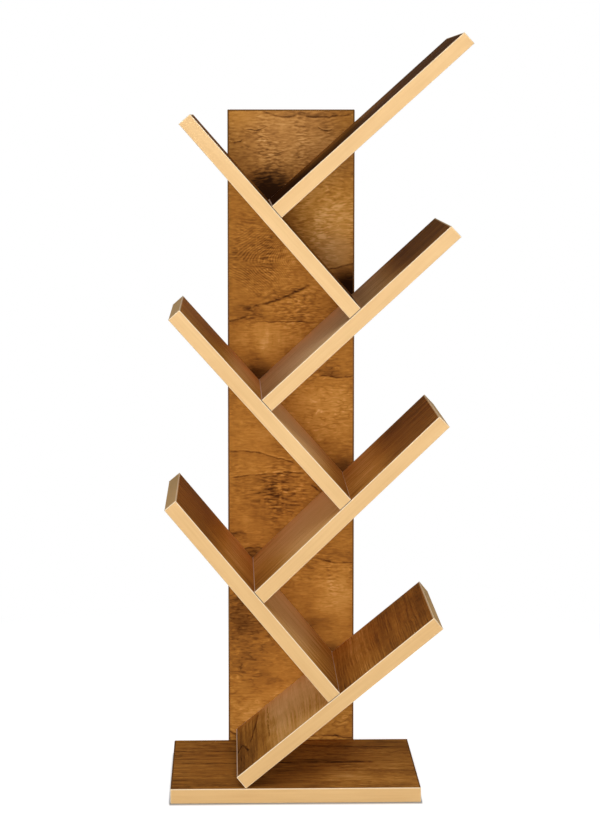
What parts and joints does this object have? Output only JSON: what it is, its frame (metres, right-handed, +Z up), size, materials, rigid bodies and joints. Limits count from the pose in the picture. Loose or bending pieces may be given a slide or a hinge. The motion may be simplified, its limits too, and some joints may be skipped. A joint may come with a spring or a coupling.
{
  "type": "tree shaped bookshelf",
  "caption": "Free-standing bookshelf shaped like a tree: an upright trunk board on a base, with equal shelves leaning left and right in turn, each standing on the one below.",
  "frame": {"origin": "Middle of the base board's underside, where the bookshelf stands on the floor.", "axes": "+X to the right seen from the front, +Y from the front to the trunk at the back, +Z up."},
  "size_m": [0.3695, 0.258, 0.9288],
  "materials": {
    "rustic_board": "melamine-faced board with a rustic brown wood print, satin",
    "pale_band": "pale beige plastic edge band, matt",
    "brown_band": "brown plastic edge band to match the board, matt",
    "zinc_screw": "bright zinc plated steel"
  },
  "bodies": {
    "root": {"trunk_core": "rustic_board", "trunk_left_band": "brown_band", "trunk_right_band": "brown_band", "trunk_top_band": "brown_band", "trunk_lower_band": "brown_band", "base_core": "rustic_board", "base_front_band": "pale_band", "base_back_band": "brown_band", "base_left_band": "brown_band", "base_right_band": "brown_band", "left_shelf_1_core": "rustic_board", "left_shelf_1_front_band": "pale_band", "left_shelf_1_back_band": "pale_band", "left_shelf_1_tip_band": "pale_band", "left_shelf_1_foot_band": "pale_band", "left_shelf_2_core": "rustic_board", "left_shelf_2_front_band": "pale_band", "left_shelf_2_back_band": "pale_band", "left_shelf_2_tip_band": "pale_band", "left_shelf_2_foot_band": "pale_band", "left_shelf_3_core": "rustic_board", "left_shelf_3_front_band": "pale_band", "left_shelf_3_back_band": "pale_band", "left_shelf_3_tip_band": "pale_band", "left_shelf_3_foot_band": "pale_band", "right_shelf_1_core": "rustic_board", "right_shelf_1_front_band": "pale_band", "right_shelf_1_back_band": "pale_band", "right_shelf_1_tip_band": "pale_band", "right_shelf_1_foot_band": "pale_band", "right_shelf_2_core": "rustic_board", "right_shelf_2_front_band": "pale_band", "right_shelf_2_back_band": "pale_band", "right_shelf_2_tip_band": "pale_band", "right_shelf_2_foot_band": "pale_band", "right_shelf_3_core": "rustic_board", "right_shelf_3_front_band": "pale_band", "right_shelf_3_back_band": "pale_band", "right_shelf_3_tip_band": "pale_band", "right_shelf_3_foot_band": "pale_band", "right_shelf_4_core": "rustic_board", "right_shelf_4_front_band": "pale_band", "right_shelf_4_back_band": "pale_band", "right_shelf_4_tip_band": "pale_band", "right_shelf_4_foot_band": "pale_band", "trunk_screws": "zinc_screw", "shelf_screws": "zinc_screw"}
  },
  "joints": []
}
